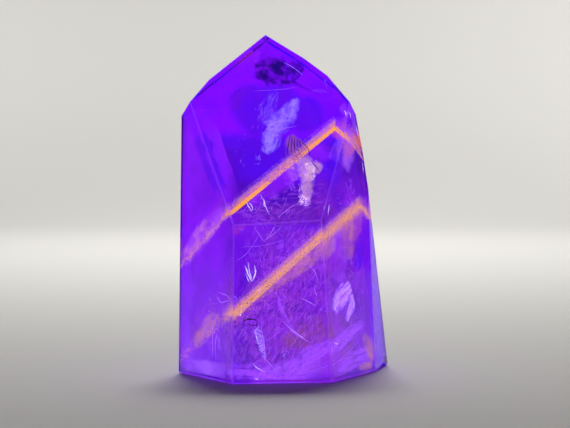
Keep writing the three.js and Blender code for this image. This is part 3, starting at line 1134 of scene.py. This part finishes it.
# Flakes, each a small sheet of bubbles of its own.
FLAKE = ((6.4, -8.8, 11.9), (7.2, -7.6, 11.6), (8.4, -5.8, 12.7), (9.1, -4.6, 13.9))
FLAKE_TAIL = ((9.3, -4.7, 11.6), (9.1, -5.1, 10.4), (8.7, -5.7, 9.3))
STRAND = ((-4.2, -12.2, 8.9), (-4.3, -12.2, 7.8), (-3.8, -12.2, 5.8), (-3.1, -12.2, 3.5))
for name, path, half_widths, material, per_mm2, seed, options in (
    ("flake_right", FLAKE, (0.6, 1.4, 1.4, 0.6), milky, 40, 56, COARSE),
    ("flake_right_tail", FLAKE_TAIL, (0.4, 0.4, 0.2), milky, 30, 57, COARSE),
    ("strand", STRAND, (0.3, 0.7, 0.6, 0.2), milky, 60, 58, None),
    ("chip_left", ((-6.7, -11.4, 8.4), (-6.2, -11.4, 7.1)), (0.6, 0.4), faint, 60, 59, None),
    ("patch_by_base", ((-0.6, -10.9, 4.1), (0.8, -10.8, 4.9)), (0.5, 0.4), milky, 30, 60, None),
):
    veil(name, path, half_widths, material, per_mm2, seed, options=options)

# Dust-coloured patches, where grains of powellite got into the haze. Their milk glows salmon, in soft patches
# or in long wisps, and a pinkish lavender where the dust is thinnest.
salmon_milk = milk("salmon_haze", "#906040", "#c5ff7c", 1.7, (0.1, 0.55), 2.5, 3.0)
salmon_wisps = milk("salmon_wisps", "#906040", "#cbff89", 1.5, (0.0, 0.55), 1.1, 4.0)
pink_streak = milk("pink_lavender_haze", "#906090", "#daffbc", 1.5, (0.15, 0.55), 2.5, 3.5)
for name, half_widths, material, seed, facing, ragged, path in (
    (
        "salmon_right", (2.0, 3.0, 2.4), salmon_milk, 67, RIGHT, 0.35,
        ((8.2, -4.4, 26.6), (8.8, -3.8, 23.0), (8.1, -4.0, 18.4)),
    ),
    (
        "salmon_corner", (0.8, 1.6, 2.2), salmon_milk, 69, RIGHT, 0.35,
        ((11.9, -2.7, 6.2), (12.8, -1.5, 4.3), (14.0, 0.1, 2.2)),
    ),
    (
        "salmon_foot", (0.5, 0.9, 0.6), salmon_milk, 63, RIGHT, 0.35,
        ((11.0, -4.2, 0.9), (12.2, -2.6, 0.8), (13.4, -0.9, 0.8)),
    ),
    (
        "salmon_under_phantom", (0.4, 0.9, 1.6, 1.8), salmon_milk, 66, FRONT, 0.35,
        ((-5.6, -11.2, 12.4), (-0.1, -10.6, 16.0), (5.1, -10, 20.2), (7.8, -9.4, 22.4)),
    ),
    (
        "pink_upper_left", (0.9, 2.0, 2.2, 1.4), pink_streak, 70, LEFT, 0.3,
        ((-8.4, -9.3, 26.8), (-10.4, -6.9, 24.6), (-12.6, -4.3, 22.0), (-15.4, -1.0, 18.0)),
    ),
    (
        "salmon_lower_left", (0.6, 1.5, 1.8, 1.5, 0.8), salmon_wisps, 65, LEFT, 0.3,
        ((-10, -10, 10.6), (-11, -8.8, 9.2), (-12, -7.6, 7.6), (-13.1, -6.3, 6.1), (-14.2, -5.2, 4.8)),
    ),
    (
        "foot_left", (1.3, 1.5, 1.4), soft_milk, 64, LEFT, 0.3,
        ((-15.4, -1.8, 1.2), (-11.9, -6.2, 1.3), (-8.2, -10.9, 1.4)),
    ),
):
    film(name, path, half_widths, material, seed, facing=facing, ragged=ragged)

# Broad soft haze, which tints what is seen through it and adds a faint glow of painted light: rosy and dusky
# behind the front, pink and violet behind the faces beside it, deeper violet along the edges and the
# right-hand heel, and rusty in one spot.
rosy_milk = milk("rosy_haze", "#603050", "#fff3bc", 0.6, (0.0, 0.6), 4, 4)
dusky_milk = milk("dusky_haze", "#301040", "#cb89ff", 0.5, (0.2, 0.7), 1.5, 3)
pink_milk = milk("pink_haze", "#603080", "#ce6cff", 0.8, (0.1, 0.45), 5, 5)
left_milk = milk("left_haze", "#401090", "#bf59ff", 1.0, (0.25, 0.5), 5, 5)
edge_milk = milk("violet_haze", "#301080", "#b545ff", 0.8, (0.3, 0.6), 5, 5)
heel_milk = milk("heel_haze", "#201080", "#a227ff", 0.8, (0.2, 0.95), 1.5, 2.0)
rust_milk = milk("rusty_haze", "#602030", "#e7ffaa", 0.5, (0.1, 0.6), 2.5, 3.5)
# The way that the narrow face over the right-hand edge looks.
HEEL = Vector((0.938, -0.342, 0.056))
for name, half_widths, material, seed, facing, path in (
    (
        "violet_heel", (3, 3, 3, 3), heel_milk, 4, HEEL,
        ((12.6, -0.4, 26), (13.5, 0.3, 16), (14.5, 0.9, 7), (15.2, 1.3, -3)),
    ),
    ("violet_front", (10, 10, 10), pink_milk, 92, FRONT, ((0, -9.2, -3), (0, -8.2, 12), (0, -7.4, 27))),
    ("rosy_middle", (9, 9, 7), rosy_milk, 93, FRONT, ((1, -5, -2), (1.5, -4.4, 12), (2, -4, 24))),
    (
        "rosy_spot", (1.6, 2.8, 2.4), rosy_milk, 91, FRONT,
        ((-0.6, -7.8, 7.0), (2.4, -7.6, 7.4), (5.6, -7.3, 7.8)),
    ),
    (
        "dusky_over_edge", (1.2, 1.8, 2.4, 2.0), dusky_milk, 90, FRONT_OF_POINT,
        ((-5.4, -8.8, 25.6), (-0.6, -8.8, 25.6), (4.2, -8.2, 26.2), (7.0, -6.6, 27.4)),
    ),
    (
        "dusky_right", (1.6, 1.8, 1.0), dusky_milk, 89, RIGHT,
        ((9.7, -3.0, 4.4), (8.9, -4.3, 7.1), (8.6, -4.4, 9.4)),
    ),
    (
        "violet_under_upper", (1.6, 2.2, 2.2, 2.0), left_milk, 3, FRONT_OF_POINT,
        ((-6.4, -9.7, 27.2), (-2.0, -8.1, 30.2), (2.6, -6.4, 33.4), (7.2, -5.0, 36.4)),
    ),
    (
        "violet_left", (8, 8, 8, 7), left_milk, 94, LEFT,
        ((-12, -5, -3), (-12, -5, 14), (-12, -5, 28), (-12, -4.8, 42)),
    ),
    ("pink_right", (9, 9, 8), pink_milk, 95, RIGHT, ((9.8, -3.6, -3), (9.2, -3.6, 14), (8.6, -3, 33))),
    (
        "blue_patch_right", (1.2, 1.8, 1.4), blue_milk, 87, RIGHT,
        ((11.8, -0.4, 22.4), (11.2, -1.0, 19.4), (10.0, -2.0, 16.4)),
    ),
    (
        "violet_edge_right", (1.2, 2.2, 2.8, 3.2), edge_milk, 96, RIGHT,
        ((12.0, 0.6, 30), (13.0, 0.6, 21.3), (13.7, 1.4, 12), (14.6, 2.6, -2)),
    ),
    (
        "violet_edge_left", (2.8, 2.8, 2.8, 2.8), edge_milk, 97, LEFT,
        ((-15.2, 0, -2), (-15.3, 0, 16), (-15.2, 0.3, 32), (-14.9, 0.5, 45)),
    ),
):
    film(name, path, half_widths, material, seed, 0.5, facing=facing, across=12, ragged=0.3)
RUSTY_SPOT = ((-0.8, -10.4, 5.6), (2.6, -10.2, 7.0), (6.4, -9.8, 8.8))
film("rusty_spot", RUSTY_SPOT, (1.0, 2.3, 2.6), rust_milk, 6, 0.5, ragged=0.4)

# Threads: parallel cracks as fine as hairs, painted pale where they catch the lamp and painted dark, as in
# shade, where they don't.
lit_threads = milk("lit_threads", "#8060a0", "#dad3f3", 1.0, (0.0, 0.4), 0.35, 1.6, 0.48)
shaded_threads = milk("shaded_threads", "#201040", "#9559ff", 0.4, (0.0, 0.45), 0.7, 1.6, 0.46)
for way, half_widths, material, seed, facing, path in (
    ("rising", (9, 9, 9), lit_threads, 101, FRONT, ((-8, -12.7, 0), (0, -11.8, 12), (8, -10.9, 24))),
    ("steep", (11, 9, 9), lit_threads, 102, FRONT, ((-3, -11.4, 0), (0, -11.0, 12), (1, -10.7, 24))),
    ("dark_rising", (9, 9, 9), shaded_threads, 103, FRONT, ((-6, -12.2, 0), (0, -11.2, 12), (6, -10.2, 24))),
    ("right", (5, 5, 5), lit_threads, 104, RIGHT, ((6.6, -8.8, -1), (9.4, -4.4, 9), (11.6, -0.6, 19))),
    ("dark_right", (5, 5, 5), shaded_threads, 105, RIGHT, ((6.6, -8.2, 19), (9.4, -3.8, 9), (11.6, 0.0, -1))),
    (
        "under_upper", (3, 3, 3), lit_threads, 106, FRONT_OF_POINT,
        ((-8.4, -10.0, 25.4), (-1, -9.4, 27.2), (7, -8.6, 29.4)),
    ),
    (
        "dark_under_upper", (3, 3, 3), shaded_threads, 107, FRONT_OF_POINT,
        ((-8.4, -9.0, 28.4), (-1, -9.0, 27.2), (7, -9.0, 25.4)),
    ),
):
    film("threads_" + way, path, half_widths, material, seed, 0.2, facing=facing, across=12, ragged=0.3)

# Bits of rosy dust, strewn in loose clouds behind the front.
DUSTY_INDEX = 1.5
rosy = glowing("rosy_bits", "#604050", "#f3ff95", 0.7, 0.6, DUSTY_INDEX)
HAZE = {"Patch size": 4 * MM, "Patchiness": 0.85, "Tumble": 1.5}
for name, path, half_widths, per_mm2, seed in (
    ("bits_front", ((0, -9, 1), (0, -8, 12), (0, -8, 24)), (8, 8, 7), 10, 72),
    ("bits_middle", ((2, -2, 1), (2, -3, 12), (0, -3, 26)), (11, 10, 8), 8, 73),
):
    veil(name, path, half_widths, rosy, per_mm2, seed, TINY_BUBBLE, 3.0, HAZE)

# Hair needles and short strokes all through the lower half, as fine as a spider's thread.
NEEDLES = {
    "Grain stretch": (14.0, 0.25, 0.25),
    "Tumble": math.pi,
    "Size varies by": 0.7,
    "Layer depth": 3 * MM,
}
STROKES = {
    "Grain stretch": (0.5, 9.0, 0.35),
    "Tumble": 0.35,
    "Size varies by": 0.7,
    "Layer depth": 1 * MM,
}
ALONG_FEATHER = ((2.8, -5.4, 33.6), (3.1, -7.6, 29.4), (2.9, -8.9, 26.8))
for name, path, half_widths, per_mm2, seed, options in (
    ("needles_under_upper", ((-7, -11, 26), (-3, -10.6, 26), (2, -10.4, 25)), (3, 4, 3), 5, 81, NEEDLES),
    ("needles_front", ((0, -11, 3), (0, -11, 12), (0, -10.8, 22)), (6, 7, 6), 3, 82, NEEDLES),
    ("needles_right", ((9, -5, 6), (8.6, -5, 16), (8.6, -3.6, 30)), (3, 3, 3), 3, 83, NEEDLES),
    ("needles_left", ((-10, -8.6, 2), (-10, -8.6, 8), (-10, -8.4, 13)), (3, 3, 2), 3, 84, NEEDLES),
    ("strokes_flake", ((7.0, -7.8, 10.6), (7.4, -7.0, 13.6)), (1.6, 1.8), 9, 85, STROKES),
    ("strokes_strand", ((-4.3, -12.2, 8.4), (-3.6, -12.2, 5.0)), (0.7, 0.7), 10, 86, STROKES),
    ("strokes_feather", ALONG_FEATHER, (1.4, 1.2, 1.0), 12, 87, STROKES),
    ("strokes_cloud", ((-2.2, 0.4, 42.4), (-3.0, -1.2, 38.4)), (3.0, 2.4), 1.5, 88, STROKES),
    ("strokes_right", ((9.4, -2.4, 31.4), (8.8, -3.4, 26.4)), (1.6, 1.4), 5, 89, STROKES),
):
    veil(name, path, half_widths, hairs, per_mm2, seed, TINY_BUBBLE, 1.0, options)


# The table: a plain pale board of painted card that curves up into a wall behind the stone. It shows no edge,
# so the stone stands before an even ground.
FLOOR_DROP = 0.2 * MM
BOARD_WIDTH = 2.4
BOARD_FRONT = -0.5
BOARD_BACK = 0.45
CURVE_RADIUS = 0.35
WALL_HEIGHT = 1.1
CURVE_STEPS = 24


def pale_board():
    """Painted card: an even pale grey, matt, with hardly a shine."""
    material, tree = new_material("pale_painted_board")
    paint = add(tree, "ShaderNodeBsdfPrincipled", {"Base Color": linear("#c0beb9"), "Roughness": 0.9})
    add(tree, "ShaderNodeOutputMaterial", None, {"Surface": paint.outputs["BSDF"]})
    return material


board = bmesh.new()
profile = [(BOARD_FRONT, -FLOOR_DROP), (BOARD_BACK, -FLOOR_DROP)]
for step in range(1, CURVE_STEPS + 1):
    turn = math.pi / 2 * step / CURVE_STEPS
    profile.append(
        (BOARD_BACK + CURVE_RADIUS * math.sin(turn), CURVE_RADIUS * (1 - math.cos(turn)) - FLOOR_DROP)
    )
profile.append((BOARD_BACK + CURVE_RADIUS, WALL_HEIGHT))
sides = [[board.verts.new((side * BOARD_WIDTH / 2, y, z)) for y, z in profile] for side in (-1, 1)]
for a, b, c, d in zip(sides[0], sides[1], sides[1][1:], sides[0][1:]):
    board.faces.new((a, b, c, d)).smooth = True
new_piece("table_and_backdrop", mesh_of("table_and_backdrop", board), pale_board())


# Plain soft studio light: two large lamps wash the left and the right of the wall, and a weaker one lights
# the board just behind the stone. The side that the camera looks from stays dim, so that the polished faces
# have little to mirror.
ROOM_BRIGHTNESS = 0.06


def soft_lamp(name, place, looks_at, size, watts, spread):
    """A square soft lamp. Its places and its size are in metres, and its spread is in degrees."""
    lamp = bpy.data.lights.new(name, "AREA")
    lamp.size = size
    lamp.energy = watts
    lamp.spread = math.radians(spread)
    holder = bpy.data.objects.new(name, lamp)
    holder.location = place
    holder.rotation_euler = (Vector(looks_at) - Vector(place)).to_track_quat("-Z", "Y").to_euler()
    bpy.context.scene.collection.objects.link(holder)


soft_lamp("wall_lamp_left", (-0.3, 0.1, 0.75), (-0.4, 0.75, 0.05), 0.4, 2.0, 80)
soft_lamp("wall_lamp_right", (0.3, 0.1, 0.75), (0.4, 0.75, 0.05), 0.4, 2.4, 80)
soft_lamp("lamp_above", (0.0, 0.35, 0.7), (0.0, 0.2, 0.0), 0.3, 0.8, 55)

room = bpy.data.worlds.new("room")
room.use_nodes = True
walls = room.node_tree.nodes["Background"].inputs
named(walls, "Color").default_value = linear("#eef0f4")
named(walls, "Strength").default_value = ROOM_BRIGHTNESS
bpy.context.scene.world = room


# The camera looks at the big front face from close by. It stands a little above the stone's middle and tilts
# down a little, and its focal length is in pixels of the picture, which is so many of them wide.
CAMERA_PLACE = Vector((0, -212.7, 34.61)) * MM
CAMERA_TILT = math.radians(2.4)
FOCAL_LENGTH_PIXELS = 1290.3
FRAME_WIDTH_PIXELS = 570
SENSOR_WIDTH_MM = 36
NEAREST_SEEN = 10 * MM
camera_lens = bpy.data.cameras.new("camera")
camera_lens.sensor_fit = "HORIZONTAL"
camera_lens.sensor_width = SENSOR_WIDTH_MM
camera_lens.lens = SENSOR_WIDTH_MM * FOCAL_LENGTH_PIXELS / FRAME_WIDTH_PIXELS
camera_lens.clip_start = NEAREST_SEEN
camera = bpy.data.objects.new("camera", camera_lens)
camera.location = CAMERA_PLACE
camera.rotation_euler = (math.pi / 2 - CAMERA_TILT, 0, 0)
bpy.context.scene.collection.objects.link(camera)
bpy.context.scene.camera = camera

# Light has to pass many faces of the stone, and many films in it, before it comes out.
FACES_PASSED = 24
FILMS_PASSED = 96
look = bpy.context.scene
look.view_settings.view_transform = "Standard"
look.cycles.max_bounces = FACES_PASSED
look.cycles.transmission_bounces = FACES_PASSED
look.cycles.transparent_max_bounces = FILMS_PASSED
look.cycles.use_denoising = True
